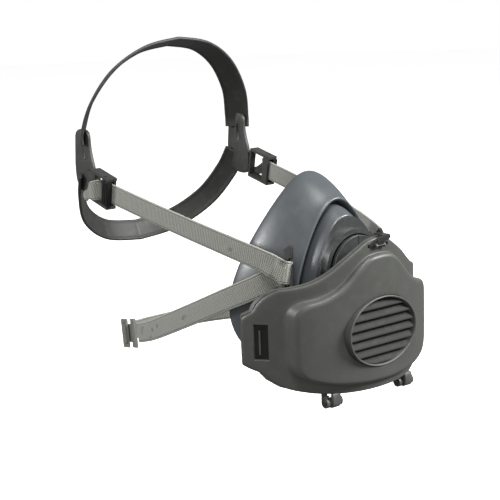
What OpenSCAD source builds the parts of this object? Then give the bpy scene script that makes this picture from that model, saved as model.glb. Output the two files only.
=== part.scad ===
// Half-mask respirator with a snap-on filter box, elastic straps and a head cradle.
// Millimetres. +Z is up, the wearer faces -Y, and +X is the wearer's left.
// The origin is the centre of the opening that seals on the face.

/* [Facepiece] */
// Half width of the face seal at its widest
seal_half_w = 54; // [50:1:58]
// Half height of the face seal, from nose to chin
seal_half_h = 73; // [68:1:76]
// Wall thickness of the rubber body
rubber_t = 2.6; // [2:0.1:3]
// Half width of the rolled rim at the front of the rubber
rim_half_w = 38; // [36:1:40]
// Half height of the rolled rim
rim_half_h = 61.5; // [59:0.5:63]

/* [Front body] */
// Half width of the hard front plate
plate_half_w = 31; // [30:0.5:32]
// Half height of the hard front plate
plate_half_h = 50; // [49:0.5:51]
// Radius of the exhalation valve cup
cup_r = 25.6; // [25:0.1:26]
// Height of the exhalation valve above the origin
exhale_z = 12.4; // [12:0.1:13]
// Height of the inhalation port, below the origin
inhale_z = -33; // [-34:0.5:-32.5]
// Outer radius of the inhalation spigot
spigot_r = 15; // [14:0.1:15]
// Outer radius of the exhalation disc cover
disc_r = 21.5; // [21:0.1:21.8]
// How far each valve flap lifts
flap_lift = 1.3; // [0.8:0.1:1.4]

/* [Filter box] */
// Radius of the bend in the box's flange
flange_r = 76; // [75:0.5:77]
// Half width of the box over its side tabs
tab_half_w = 77.6; // [76:0.2:79]
// Height of the flange's top above the origin
flange_top = 35.8; // [35:0.2:37]
// Height of the flange's bottom edge, below the origin
flange_bottom = -69; // [-70:0.2:-68]
// Radius of the raised front's bend
front_r = 95; // [94:0.5:96]
// Half width of the raised front
raised_half_w = 59; // [58:0.5:60]
// Wall thickness of the moulded shells
wall = 2; // [1.8:0.1:2.2]
// Thickness of the felt filter pad
pad_t = 6; // [5:0.5:6]
// Half width of the grille's outer ring
grille_a = 31.2; // [30:0.1:32]
// Half height of the grille's outer ring
grille_b = 25.3; // [24:0.1:26]
// Number of louvre slats in the grille
slat_count = 7; // [6:1:8]
// Radius of the hinge pins
pin_r = 1.25; // [1:0.05:1.4]

/* [Harness] */
// Width of the elastic straps
strap_w = 16; // [14:1:18]
// Thickness of the elastic straps
strap_t = 1.6; // [1.2:0.1:1.8]
// Width of the plastic bands of the head cradle
band_w = 22; // [18:1:24]
// Thickness of the plastic bands
band_t = 2; // [1.6:0.1:2.4]

/* [Hidden] */
$fn = 64;

// Colours
rubber_grey = "dimgray";
box_grey = [0.36, 0.36, 0.33];
strap_grey = [0.67, 0.68, 0.64];
dark_plastic = [0.1, 0.1, 0.1];
cradle_grey = [0.34, 0.35, 0.33];
felt_white = [0.9, 0.9, 0.86];

// Stations along the axis, front to back
rim_y = -42.5;
groove_y = -34;
neck_y = -52;
plate_front = -56;
plate_back = neck_y - 0.3;
flange_yc = -8;
front_yc = front_r - 88.5;
bend_angle = 50;
wing_len = 32;
fit_gap = 0.3;
run_gap = 0.05;

// ---------- outlines ----------

// Egg outline: narrow at the top by the factor k
function egg(a, b, zc, k, n = 72) =
  [for (i = [0:n - 1]) let (t = 360 * i / n) [a * cos(t) * (1 - k * sin(t)), zc + b * sin(t)]];

function ellipse(a, b, n = 72) = [for (i = [0:n - 1]) let (t = 360 * i / n) [a * cos(t), b * sin(t)]];

// Half outline in (x, z) joined to its mirror image
function both_sides(half) =
  concat(half, [for (i = [len(half) - 1:-1:0]) if (half[i][0] > 0.01) [-half[i][0], half[i][1]]]);

// Catmull-Rom curve through a list of points
function spline_at(p, i, t) =
  let (n = len(p), a = p[max(i - 1, 0)], b = p[i], c = p[min(i + 1, n - 1)], d = p[min(i + 2, n - 1)])
  0.5 * (2 * b + (c - a) * t + (2 * a - 5 * b + 4 * c - d) * t * t + (3 * b - 3 * c + d - a) * t * t * t);
function spline(p, steps) =
  concat([for (i = [0:len(p) - 2], s = [0:steps - 1]) spline_at(p, i, s / steps)], [p[len(p) - 1]]);

// Right half of the flange, from its top down to its bottom
flange_half = spline([
  [0, flange_top], [8, flange_top - 1.6], [16, flange_top - 6.5], [26, 22.2], [35, 15], [44.8, 9],
  [54, 5.8], [61, 4]
], 4);
flange_outline = both_sides(concat(flange_half, [
  [66.3, 0], [70.3, -6], [71.8, -10.9], [76.5, -14.6], [tab_half_w, -18.5], [tab_half_w, -45],
  [76.9, -48.6], [72.8, -52], [68.3, -54.5], [65.3, -59.4], [60, -63.8], [50.4, -66.6],
  [36.2, flange_bottom + 0.6], [18, flange_bottom], [0, flange_bottom]
]));

// Right half of the raised front
raised_top = 25;
raised_bottom = -63;
function raised_half(inset) = concat(
  spline([
    [0, raised_top - inset], [8, raised_top - 0.8 - inset], [13, raised_top - 3 - inset],
    [19 - inset * 0.6, 17 - inset * 0.8], [26 - inset * 0.7, 9.5 - inset * 0.7],
    [34 - inset * 0.5, 3 - inset * 0.9], [43 - inset * 0.2, -1.4 - inset],
    [51 - inset * 0.6, -3.6 - inset]
  ], 3),
  [
    [55.5 - inset * 0.7, -6 - inset * 0.7], [58 - inset * 0.9, -9.5 - inset * 0.4],
    [raised_half_w - inset, -14], [raised_half_w - inset, -44],
    [58 - inset * 0.9, -50 + inset * 0.4], [55 - inset * 0.7, -54.5 + inset * 0.7],
    [50 - inset * 0.5, -57.6 + inset], [36, -61 + inset], [19, raised_bottom + 0.5 + inset],
    [0, raised_bottom + inset]
  ]
);

// ---------- solids from outlines ----------

// Extrude an (x, z) outline along Y between two stations
module along_y(y0, y1) {
  translate([0, y1, 0]) rotate([90, 0, 0]) linear_extrude(height = y1 - y0) children();
}

module round_y(r, y0, y1, x = 0, z = 0) {
  translate([x, y1, z]) rotate([90, 0, 0]) cylinder(r = r, h = y1 - y0);
}

// Plan curve of the flange: an arc about (0, flange_yc), then straight wings
function wing_line(r) =
  let (ex = r * sin(bend_angle), ey = flange_yc - r * cos(bend_angle))
  concat(
    [[-ex - wing_len * cos(bend_angle), ey + wing_len * sin(bend_angle)]],
    [for (i = [-20:20]) let (t = i * bend_angle / 20) [r * sin(t), flange_yc - r * cos(t)]],
    [[ex + wing_len * cos(bend_angle), ey + wing_len * sin(bend_angle)]]
  );
function front_line(r, half = 62) =
  let (lim = asin(half / r))
  [for (i = [-20:20]) let (t = i * lim / 20) [r * sin(t), front_yc - r * cos(t)]];
function reversed(p) = [for (i = [len(p) - 1:-1:0]) p[i]];

// Sheet between two plan curves, from the bottom to the top of the box
module plan_sheet(outer, inner, z0 = -80, z1 = 50) {
  translate([0, 0, z0]) linear_extrude(height = z1 - z0) polygon(concat(outer, reversed(inner)));
}
module flange_sheet(r, t) {
  plan_sheet(wing_line(r), wing_line(r - t));
}
module front_sheet(r, t) {
  plan_sheet(front_line(r), front_line(r - t));
}
module raised_prism(inset) {
  along_y(-100, -20) polygon(both_sides(raised_half(inset)));
}
module flange_prism() {
  along_y(-100, -20) polygon(flange_outline);
}

// ---------- facepiece ----------

// Each station: y at the centre line, half width, half height, centre height, narrowing, sweep back
seal = [
  [-11, seal_half_w, seal_half_h, 0.5, 0.4, 20],
  [-17, seal_half_w - 0.8, seal_half_h - 1, 0.4, 0.39, 16],
  [-24, seal_half_w - 4.4, seal_half_h - 4, 0, 0.37, 10],
  [-31, seal_half_w - 9.4, seal_half_h - 7.3, -1, 0.34, 5],
  [-37, seal_half_w - 13.6, seal_half_h - 10, -2.5, 0.31, 2],
  [rim_y + 1.5, rim_half_w, rim_half_h, -3.5, 0.3, 0],
  [rim_y, rim_half_w - 1.4, rim_half_h - 1.4, -3.5, 0.3, 0],
  [rim_y + 1.2, rim_half_w - 2.8, rim_half_h - 2.8, -3.5, 0.3, 0],
  [groove_y, rim_half_w - 3.8, rim_half_h - 3.8, -3.5, 0.3, 0],
  [groove_y, rim_half_w - 6.2, rim_half_h - 5.2, -3.5, 0.29, 0],
  [-43, plate_half_w + 1.2, plate_half_h + 5.2, -3.5, 0.28, 0],
  [neck_y + 2, plate_half_w - 0.4, plate_half_h + 1.2, -4, 0.26, 0],
  [neck_y, plate_half_w - 1.2, plate_half_h, -4, 0.25, 0],
  [neck_y, plate_half_w - 3.6, plate_half_h - 2.4, -4, 0.25, 0],
  [-43, plate_half_w - 2, plate_half_h + 1.8, -3.7, 0.27, 0],
  [groove_y + 2.4, plate_half_w - 1.5, plate_half_h + 3, -3.5, 0.28, 0],
  [groove_y + 2.8, rim_half_w - 2.6, rim_half_h - 2.6, -3.2, 0.3, 1],
  [-29, seal_half_w - 12, seal_half_h - 9.6, -1, 0.34, 5],
  [-22, seal_half_w - 7.2, seal_half_h - 6.6, 0, 0.37, 9],
  [-15, seal_half_w - 3.6, seal_half_h - 3.7, 0.3, 0.39, 14],
  [-9.5, seal_half_w - 3, seal_half_h - 3.2, 0.4, 0.4, 18],
  [-7.5, seal_half_w - 9, seal_half_h - 9.5, 0.4, 0.4, 17],
  [-6, seal_half_w - 9, seal_half_h - 9.5, 0.4, 0.4, 17],
  [-7.6, seal_half_w - 1.6, seal_half_h - 1.8, 0.5, 0.4, 20]
];
ring_n = 44;
function ring_point(s, i) =
  let (t = 360 * i / ring_n, x = s[1] * cos(t) * (1 - s[4] * sin(t)))
  [x, s[0] + s[5] * pow(x / 56, 2), s[3] + s[2] * sin(t)];
// Closed tube of rings, each joined to the next and the last to the first
module ring_tube(stations) {
  m = len(stations);
  points = [for (s = stations, i = [0:ring_n - 1]) ring_point(s, i)];
  quads = [for (j = [0:m - 1], i = [0:ring_n - 1])
    let (i2 = (i + 1) % ring_n, j2 = (j + 1) % m)
    [j * ring_n + i, j2 * ring_n + i, j2 * ring_n + i2, j * ring_n + i2]];
  faces = [for (q = quads, h = [0:1]) h == 0 ? [q[0], q[1], q[2]] : [q[0], q[2], q[3]]];
  polyhedron(points = points, faces = faces);
}
module facepiece() {
  color(rubber_grey) ring_tube(seal);
}

// ---------- front body and valves ----------

arm_x = 47.4;
arm_front = plate_front + 1;
arm_z0 = -9;
arm_z1 = 3;
yoke_x = 49;
yoke_y = -51;
yoke_splay = 15;
yoke_lean = 15;
seat_hole_r = 16;
module front_body() {
  color(box_grey) difference() {
    union() {
      along_y(plate_front, plate_back) polygon(egg(plate_half_w, plate_half_h, -4, 0.25));
      along_y(plate_back - 0.01, neck_y + 7)
        polygon(egg(plate_half_w - 3.9, plate_half_h - 2.7, -4, 0.25));
      round_y(cup_r, plate_front - 5, plate_front, z = exhale_z);
      round_y(spigot_r, plate_front - 12, plate_front, z = inhale_z);
      along_y(arm_front, plate_back)
        polygon([[-arm_x + 1.4, arm_z0], [arm_x - 1.4, arm_z0], [arm_x - 1.4, arm_z1], [-arm_x + 1.4, arm_z1]]);
      for (s = [-1, 1])
        translate([s * (arm_x - 2) - 2, arm_front + 1.2, arm_z0]) cube([4, 7.3, arm_z1 - arm_z0]);
    }
    along_y(plate_back, neck_y + 8)
      polygon(egg(plate_half_w - 6.4, plate_half_h - 5.2, -4, 0.25));
    round_y(cup_r - 3.2, plate_front - 6, plate_front, z = exhale_z);
    round_y(seat_hole_r, plate_front - 1, plate_back + 1, z = exhale_z);
    round_y(spigot_r - 2.5, plate_front - 13, plate_back + 1, z = inhale_z);
  }
}
// Flat wheel with spokes that carries a flap on its centre post
module spider(r, y0, y1, z) {
  difference() {
    round_y(r, y0, y1, z = z);
    round_y(r - 1.8, y0 - 1, y1 + 1, z = z);
  }
  round_y(3, y0, y1, z = z);
  for (a = [0:60:300])
    translate([0, 0, z]) rotate([0, a, 0]) translate([2, y0, -0.7]) cube([r - 3, y1 - y0, 1.4]);
}
flap_t = 0.9;
post_r = 1.5;
module inhalation_seat() {
  color(dark_plastic) {
    spider(spigot_r - 2.5 - 0.01, plate_back - 2.4, plate_back, inhale_z);
    round_y(post_r, plate_back - 0.1, plate_back + flap_t + flap_lift + 1.6, z = inhale_z);
    round_y(2.6, plate_back + flap_t + flap_lift + 0.6, plate_back + flap_t + flap_lift + 1.6, z = inhale_z);
  }
}
module valve_flap(y0, z) {
  difference() {
    round_y(spigot_r - 0.6, y0, y0 + flap_t, z = z);
    round_y(post_r + run_gap, y0 - 1, y0 + flap_t + 1, z = z);
  }
}
module inhalation_flap() {
  color(felt_white) valve_flap(plate_back + 0.2, inhale_z);
}
seat_front = plate_front - 1.6;
module exhalation_seat() {
  color(dark_plastic) {
    spider(seat_hole_r - 0.01, plate_front - 0.2, plate_back, exhale_z);
    difference() {
      round_y(seat_hole_r + 2.5, seat_front, plate_front, z = exhale_z);
      round_y(seat_hole_r - 1.8, seat_front - 1, plate_front + 1, z = exhale_z);
    }
    round_y(post_r, seat_front - flap_t - flap_lift - 1.6, plate_front, z = exhale_z);
    round_y(2.6, seat_front - flap_t - flap_lift - 1.6, seat_front - flap_t - flap_lift - 0.6, z = exhale_z);
  }
}
module exhalation_flap() {
  color(felt_white) difference() {
    round_y(seat_hole_r, seat_front - 0.2 - flap_t, seat_front - 0.2, z = exhale_z);
    round_y(post_r + run_gap, seat_front - 3, seat_front + 1, z = exhale_z);
  }
}
disc_front = -64.4;
module exhalation_cover() {
  color(box_grey) {
    difference() {
      round_y(disc_r, disc_front, disc_front + 3, z = exhale_z);
      round_y(disc_r - 1.6, disc_front + 1.4, disc_front + 4, z = exhale_z);
      translate([-0.5, disc_front - 1, exhale_z + 2]) cube([1, 1.6, disc_r]);
    }
    for (a = [30, 150, 270])
      translate([0, 0, exhale_z]) rotate([0, a, 0])
        translate([disc_r - 2.6, disc_front + 1.2, -2]) cube([1.8, plate_front - disc_front - 1.2, 4]);
  }
}

// ---------- filter box ----------

base_flange_r = flange_r - wall - fit_gap;
pad_r = front_r - wall - 3.4;
grid_r = pad_r - pad_t - fit_gap;
floor_r = grid_r - wall - 2.3;
floor_y = front_yc - floor_r;
neck_back = -60;
hinge_y = -72.5;
hinge_z = -74.5;
hinge_x = 33;
ear_t = 3;
tongue_half = 3.3;
side_slot_z0 = -44.3;
side_slot_z1 = -20;

// Places children on the flange's wing, side +1 or -1, with +X outwards along the wing
// and -Y out of its front face
module on_wing(side, r) {
  mirror([side < 0 ? 1 : 0, 0, 0])
    translate([r * sin(bend_angle), flange_yc - r * cos(bend_angle), 0])
      rotate([0, 0, bend_angle]) children();
}
step_z = flange_bottom - 0.5;
// Ear of the base: a rounded eye, and a stalk that stays behind the flange's front face
module hinge_ear(x) {
  translate([x - ear_t / 2, hinge_y, hinge_z]) {
    rotate([0, 90, 0]) cylinder(r = 3.6, h = ear_t);
    translate([0, -1.2, 0]) cube([ear_t, 4.8, step_z - hinge_z]);
  }
  intersection() {
    translate([x - ear_t / 2, hinge_y - 1.2, hinge_z]) cube([ear_t, 4.8, 9.6]);
    flange_sheet(base_flange_r, 8);
  }
}
module port_gasket() {
  color(rubber_grey) difference() {
    round_y(spigot_r + 3, neck_back, plate_front, z = inhale_z);
    round_y(spigot_r + 0.2, neck_back - 1, plate_front + 1, z = inhale_z);
  }
}
module filter_base() {
  color(box_grey) difference() {
    union() {
      intersection() {
        flange_sheet(base_flange_r, wall + 0.2);
        flange_prism();
      }
      intersection() {
        raised_prism(1);
        plan_sheet(wing_line(base_flange_r), front_line(floor_r - wall, 62));
      }
      round_y(spigot_r + 3, floor_y, neck_back, z = inhale_z);
      for (s = [-1, 1], e = [-1, 1]) hinge_ear(s * hinge_x + e * (tongue_half + fit_gap + ear_t / 2));
      for (s = [-1, 1])
        on_wing(s, base_flange_r) translate([18.2, -1.6, side_slot_z0 + 3.3]) cube([1.1, 2.4, 17]);
    }
    intersection() {
      raised_prism(3);
      plan_sheet(front_line(front_r + 6), front_line(floor_r));
    }
    round_y(spigot_r - 2.5, floor_y - 5, neck_back + 1, z = inhale_z);
    round_y(spigot_r + 0.2, floor_y + 4, neck_back + 1, z = inhale_z);
    for (s = [-1, 1])
      translate([s * hinge_x - 12, hinge_y, hinge_z]) rotate([0, 90, 0]) cylinder(r = pin_r, h = 24);
  }
}
module filter_grid() {
  color(dark_plastic) intersection() {
    raised_prism(4.8);
    difference() {
      front_sheet(grid_r, wall);
      for (row = [0:8], s = [-1, 1])
        translate([s > 0 ? 3 : -53, -100, -58 + row * 8.6]) cube([50, 60, 6]);
    }
  }
}
module filter_pad() {
  color(felt_white) intersection() {
    raised_prism(5);
    front_sheet(pad_r, pad_t);
  }
}
grille_z = -28;
slot_x = 6.4;
slot_z = 30.4;
clip_y = flange_yc - flange_r - 1.9;
clip_z = 30.4;
clip_pin_r = 0.8;
module front_cover() {
  color(box_grey) difference() {
    union() {
      intersection() {
        flange_sheet(flange_r, wall);
        flange_prism();
      }
      intersection() {
        raised_prism(0);
        plan_sheet(front_line(front_r), wing_line(flange_r - wall));
      }
      for (s = [-1, 1]) {
        translate([s * hinge_x - tongue_half, 0, 0]) {
          translate([0, hinge_y, hinge_z]) rotate([0, 90, 0]) cylinder(r = 3.4, h = 2 * tongue_half);
          translate([0, hinge_y - 5.6, hinge_z - 3.4]) cube([2 * tongue_half, 5.6, step_z - hinge_z + 2.9]);
        }
        intersection() {
          translate([s * hinge_x - tongue_half, hinge_y - 5.6, hinge_z]) cube([2 * tongue_half, 6, 8]);
          plan_sheet(wing_line(flange_r + 6), wing_line(flange_r - wall));
        }
        translate([s * 3.4 - 0.6, clip_y - 1.4, clip_z - 1.6]) cube([1.2, 4, 3.2]);
      }
    }
    intersection() {
      raised_prism(wall);
      plan_sheet(front_line(front_r - wall), [[-62, -20], [62, -20]]);
    }
    along_y(-100, -60) grille_oval(0.8);
    for (s = [-1, 1]) {
      translate([s * slot_x - 2.6, -90, slot_z - 1.1]) cube([5.2, 12, 2.2]);
      on_wing(s, flange_r) translate([12.8, -3, side_slot_z0]) cube([9.6, 8, side_slot_z1 - side_slot_z0]);
      translate([s * hinge_x - 10, hinge_y, hinge_z]) rotate([0, 90, 0]) cylinder(r = pin_r + run_gap, h = 20);
    }
    translate([-5, clip_y, clip_z]) rotate([0, 90, 0]) cylinder(r = clip_pin_r, h = 10);
  }
}
slat_pitch = 6.4;
grille_front = -89.2;
slat_r = 85.8;
module grille_oval(inset) {
  translate([0, grille_z]) polygon(ellipse(grille_a - inset, grille_b - inset));
}
// Louvres in an oval ring, cut off just in front of the filter pad
module grille() {
  color(box_grey) intersection() {
    plan_sheet(front_line(front_r + 6), front_line(pad_r + fit_gap));
    union() {
      difference() {
        along_y(grille_front, -76) grille_oval(1);
        along_y(grille_front - 1, -75) grille_oval(3);
      }
      intersection() {
        along_y(grille_front + 0.6, -76) grille_oval(2.9);
        union() for (i = [0:slat_count - 1])
          translate([-32, -slat_r, grille_z + (i - (slat_count - 1) / 2) * slat_pitch])
            rotate([40, 0, 0]) translate([0, -3.6, -0.7]) cube([64, 7.2, 1.4]);
      }
    }
  }
}
clip_half = 2.5;
tab_half = 7;
tab_top = flange_top + 2.4;
// Thumb tab: a barrel between the ears, a face with a rounded top, and a lip over the box's edge
module top_clip() {
  face = [[clip_half, clip_z], [clip_half, clip_z + 2.3], [tab_half, clip_z + 3.2], [tab_half, tab_top - 2],
    [tab_half - 0.7, tab_top - 0.7], [tab_half - 2, tab_top], [0, tab_top]];
  color(dark_plastic) difference() {
    union() {
      translate([-clip_half, clip_y, clip_z]) rotate([0, 90, 0]) cylinder(r = 1.5, h = 2 * clip_half);
      along_y(clip_y - 1.4, clip_y) polygon(concat(face, reversed([for (q = face) [-q[0], q[1]]])));
      translate([-tab_half + 2, clip_y - 1, tab_top - 1.5]) cube([2 * tab_half - 4, 8.6, 1.5]);
    }
    translate([-5, clip_y, clip_z]) rotate([0, 90, 0]) cylinder(r = clip_pin_r + run_gap, h = 10);
  }
}
module clip_pin() {
  color("silver") translate([-4, clip_y, clip_z]) rotate([0, 90, 0]) cylinder(r = clip_pin_r, h = 8);
}
pin_half = tongue_half + fit_gap + ear_t;
module hinge_pins() {
  color("silver") for (s = [-1, 1]) translate([s * hinge_x, hinge_y, hinge_z]) rotate([0, 90, 0]) {
    translate([0, 0, -pin_half]) cylinder(r = pin_r, h = 2 * pin_half);
    for (e = [-1, 1]) translate([0, 0, e * (pin_half + 0.4) - 0.4]) cylinder(r = pin_r + 0.9, h = 0.8);
  }
}

// ---------- harness ----------

function unit(v) = v / norm(v);
function tangent_at(p, i) = unit(p[min(i + 1, len(p) - 1)] - p[max(i - 1, 0)]);
// Flat band along a line of points, with the given direction across it at each point
module flat_band(path, across, w, t) {
  n = len(path);
  points = [for (i = [0:n - 1])
    let (
      d = tangent_at(path, i),
      side = unit(across[i] - (across[i] * d) * d),
      face = cross(d, side)
    )
    each [for (q = [[-1, -1], [1, -1], [1, 1], [-1, 1]]) path[i] + side * q[0] * w / 2 + face * q[1] * t / 2]];
  faces = concat(
    [[0, 1, 2], [0, 2, 3]],
    [for (i = [0:n - 2], k = [0:3], h = [0:1])
      let (a = i * 4 + k, b = i * 4 + (k + 1) % 4)
      h == 0 ? [a, a + 4, b + 4] : [a, b + 4, b]],
    [[n * 4 - 1, n * 4 - 2, n * 4 - 3], [n * 4 - 1, n * 4 - 3, n * 4 - 4]]
  );
  polyhedron(points = points, faces = faces);
}
// Directions across a band whose faces look away from the centre c
function across_from(path, c) = [for (i = [0:len(path) - 1]) cross(path[i] - c, tangent_at(path, i))];

// Routes on the wearer's left side
tail_route = [[83, 169, 43.6], [82.4, 165.6, 44.6], [84, 160, 46.4], [85.4, 153, 49], [84.6, 149, 50.6],
  [81, 146.4, 51.2], [77.4, 144.2, 50.9], [76.8, 139.4, 50.2], [76.7, 133.8, 49]];
upper_route = [[76.7, 133.4, 48.9], [72.4, 80, 40], [66.6, 36, 32], [60, -2, 24.6], [54, -26, 19],
  [50.4, -35, 15.4]];
lower_route = [[44, -37.4, 9.4], [46, -32.8, 7.2], [50.6, -26.6, 3.6], [56.4, -16, -2.6], [61.8, 7, -13.4],
  [65, 40, -28.6], [66.6, 70, -42], [64.6, 96, -53], [60.6, 118, -61.2], [56.6, 141, -68.4]];
nape_route = [[56.6, 141, -68.4], [50.6, 165, -74.6], [38, 180, -78], [20, 189, -80], [0, 192, -81],
  [-18, 189.6, -80.4], [-32, 184, -79.2], [-40.6, 177, -77.4]];
crown_route = [[75.6, 178, 84], [75.2, 177.6, 94], [69, 172, 117], [52, 165, 141], [28, 159, 156], [0, 157, 161]];
occiput_route = [[75.4, 182, 62], [72, 193, 44], [60, 210, 20], [34, 224, 2], [0, 229, -4]];
crown_centre = [0, 130, 60];
head_centre = [0, 110, 60];

// The yoke's own directions: back along it, up it, and out of its face
yoke_back = [sin(yoke_splay), cos(yoke_splay), 0];
yoke_face = [cos(yoke_lean) * cos(yoke_splay), -cos(yoke_lean) * sin(yoke_splay), sin(yoke_lean)];
yoke_up = cross(yoke_back, -yoke_face);
yoke_foot = [yoke_x, yoke_y, -10];
// The strap folds round the bar behind the yoke's slot
bar_centre = yoke_foot + 8 * yoke_back + 22.4 * yoke_up;
fold_r = 3.2;
fold_arc = [for (f = [0:30:180]) bar_centre + fold_r * (cos(f) * yoke_face - sin(f) * yoke_back)];

// Strap lug: splayed outwards to the rear, its top leaning in over the rubber
module strap_yoke() {
  translate(yoke_foot) rotate([0, 0, 90 - yoke_splay]) rotate([90 - yoke_lean, 0, 0])
    linear_extrude(height = 2.6, center = true) difference() {
      polygon([[5.6, 40], [6.8, 41.6], [12.4, 37.8], [9.8, 33], [9.6, 12], [6.6, 0], [-1, 0], [0.9, 16]]);
      polygon([[3, 13], [3.6, 32], [6.4, 32], [6.4, 13]]);
    }
}
plate_x = 74.2;
side_plate_t = 2.7;
module adjuster_place() {
  translate([77, 138, 50]) rotate([12, 0, 0]) children();
}
cam_half = 10;
cam_pin_x = 3.2;
cam_pin_y = 2.2;
module adjuster_frame() {
  adjuster_place() difference() {
    union() {
      for (s = [-1, 1])
        translate([-3.5, -5, s > 0 ? cam_half + 0.3 : -cam_half - 2.5]) cube([8.4, 27, 2.2]);
      translate([-3.5, -4, -cam_half - 0.4]) cube([2, 7, 2 * cam_half + 0.8]);
      translate([-3.5, 20, -cam_half - 0.4]) cube([5.2, 2, 2 * cam_half + 0.8]);
      translate([-0.1, 21, -8]) cube([1.9, 12, 16]);
    }
    translate([cam_pin_x, cam_pin_y, -20]) cylinder(r = 1.3, h = 40);
  }
}
module adjuster_cam() {
  adjuster_place() {
    translate([cam_pin_x, cam_pin_y, -cam_half]) cylinder(r = 2, h = 2 * cam_half);
    translate([cam_pin_x, cam_pin_y, -cam_half - 2.4]) cylinder(r = 1.25, h = 2 * cam_half + 4.8);
    translate([cam_pin_x - 2, cam_pin_y - 8, -cam_half]) cube([4, 8, 2 * cam_half]);
    for (k = [0:2])
      translate([cam_pin_x + 1.9, cam_pin_y - 6.6 + k * 2.6, -cam_half + 1]) cylinder(r = 0.9, h = 2 * cam_half - 2);
  }
}
function with_mirror(p) = concat(p, reversed([for (i = [0:len(p) - 2]) [-p[i][0], p[i][1], p[i][2]]]));
// Flat plate beside the ear that joins the crown band, the rear band and the adjuster
module side_plate() {
  translate([plate_x, 0, 0]) rotate([90, 0, 90]) linear_extrude(height = side_plate_t) difference() {
    polygon([[161.6, 48], [161.6, 66], [165, 74], [167.6, 84], [167.6, 96], [188, 96], [190, 80], [192, 64],
      [190, 50], [178, 44], [166, 44]]);
    polygon([[174.6, 72], [174.6, 86], [177.4, 86], [177.4, 72]]);
  }
}
module head_cradle() {
  crown_line = with_mirror(spline(crown_route, 4));
  rear_line = with_mirror(spline(occiput_route, 4));
  color(cradle_grey) {
    flat_band(crown_line, across_from(crown_line, crown_centre), band_w, band_t);
    flat_band(rear_line, across_from(rear_line, head_centre), band_w - 3, band_t);
    for (s = [-1, 1]) mirrored(s) side_plate();
  }
}
// The neck clasp sits on the wearer's right: +Y along the strap towards the nape, -X away from the neck
module clasp_place() {
  translate([-53.2, 155, -72.4]) rotate([0, 0, -17]) rotate([-14, 0, 0]) children();
}
clasp_half = 12;
hook_half = 7.6;
module neck_clasp_hook() {
  color(strap_grey) clasp_place() {
    difference() {
      translate([-1.2, -9, -clasp_half]) cube([2.4, 12, 2 * clasp_half]);
      translate([-5, -6.4, -clasp_half + 3]) cube([10, 2.6, 2 * clasp_half - 6]);
    }
    translate([-1.2, 2, -hook_half]) cube([2.4, 11.8, 2 * hook_half]);
    translate([-5.8, 11.8, -hook_half]) cube([5, 2, 2 * hook_half]);
    translate([-5.8, 6.8, -hook_half]) cube([1.8, 6, 2 * hook_half]);
  }
}
module neck_clasp_loop() {
  color(strap_grey) clasp_place() difference() {
    translate([-3.6, 8.6, -clasp_half]) cube([2, 19.4, 2 * clasp_half]);
    translate([-5, 11.4, -hook_half - 1.4]) cube([5, 5.2, 2 * hook_half + 2.8]);
    translate([-5, 21.6, -clasp_half + 3]) cube([5, 2.6, 2 * clasp_half - 6]);
  }
}

module mirrored(side) {
  mirror([side < 0 ? 1 : 0, 0, 0]) children();
}
// Near the yoke the strap leans with the bar; elsewhere it stands upright
function strap_lean(p) = let (w = max(0, 1 - norm(p - bar_centre) / 18)) w * yoke_up + (1 - w) * [0, 0, 1];
// One strap: loose tail, adjuster, upper leg, fold in the yoke, lower leg.
// The left one carries on round the nape to the clasp.
module harness_strap(side) {
  upper = concat(spline(tail_route, 3), spline(upper_route, 4), fold_arc);
  lower = spline(lower_route, 4);
  nape = spline(nape_route, 4);
  line = concat(upper, lower, side > 0 ? [for (i = [1:len(nape) - 1]) nape[i]] : []);
  color(strap_grey) mirrored(side) flat_band(line, [for (p = line) strap_lean(p)], strap_w, strap_t);
}

facepiece();
front_body();
inhalation_seat();
inhalation_flap();
exhalation_seat();
exhalation_flap();
exhalation_cover();
port_gasket();
filter_base();
filter_grid();
filter_pad();
front_cover();
grille();
top_clip();
clip_pin();
hinge_pins();
color(dark_plastic) strap_yoke();  // strap_yoke_left
color(dark_plastic) mirrored(-1) strap_yoke();  // strap_yoke_right
harness_strap(1);  // harness_strap_left
harness_strap(-1);  // harness_strap_right
color(cradle_grey) adjuster_frame();  // adjuster_frame_left
color(cradle_grey) mirrored(-1) adjuster_frame();  // adjuster_frame_right
color(dark_plastic) adjuster_cam();  // adjuster_cam_left
color(dark_plastic) mirrored(-1) adjuster_cam();  // adjuster_cam_right
head_cradle();
neck_clasp_hook();
neck_clasp_loop();
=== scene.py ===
# Half-mask respirator on a pale floor: camera, lights, materials and the detailed pieces
import math
import bpy
import bmesh
import numpy as np
from mathutils import Matrix, Vector


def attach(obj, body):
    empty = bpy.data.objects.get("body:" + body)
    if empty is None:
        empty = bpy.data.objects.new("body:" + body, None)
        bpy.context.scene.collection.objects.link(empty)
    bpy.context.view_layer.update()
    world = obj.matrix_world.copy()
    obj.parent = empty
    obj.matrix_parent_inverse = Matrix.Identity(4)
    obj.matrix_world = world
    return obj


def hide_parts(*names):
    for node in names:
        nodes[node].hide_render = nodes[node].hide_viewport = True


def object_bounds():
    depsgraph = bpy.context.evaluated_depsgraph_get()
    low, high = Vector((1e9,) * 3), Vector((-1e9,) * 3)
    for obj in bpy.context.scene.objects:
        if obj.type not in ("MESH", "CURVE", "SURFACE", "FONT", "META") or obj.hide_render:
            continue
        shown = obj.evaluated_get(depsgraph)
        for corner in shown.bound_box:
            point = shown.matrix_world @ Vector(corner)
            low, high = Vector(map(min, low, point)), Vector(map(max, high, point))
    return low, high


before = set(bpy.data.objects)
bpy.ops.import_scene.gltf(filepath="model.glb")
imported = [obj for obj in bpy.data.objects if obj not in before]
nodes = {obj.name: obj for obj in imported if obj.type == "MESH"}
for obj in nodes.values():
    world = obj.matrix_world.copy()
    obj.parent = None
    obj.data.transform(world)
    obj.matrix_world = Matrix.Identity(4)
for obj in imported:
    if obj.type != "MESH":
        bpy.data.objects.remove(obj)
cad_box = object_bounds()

MM = 0.001
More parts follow.
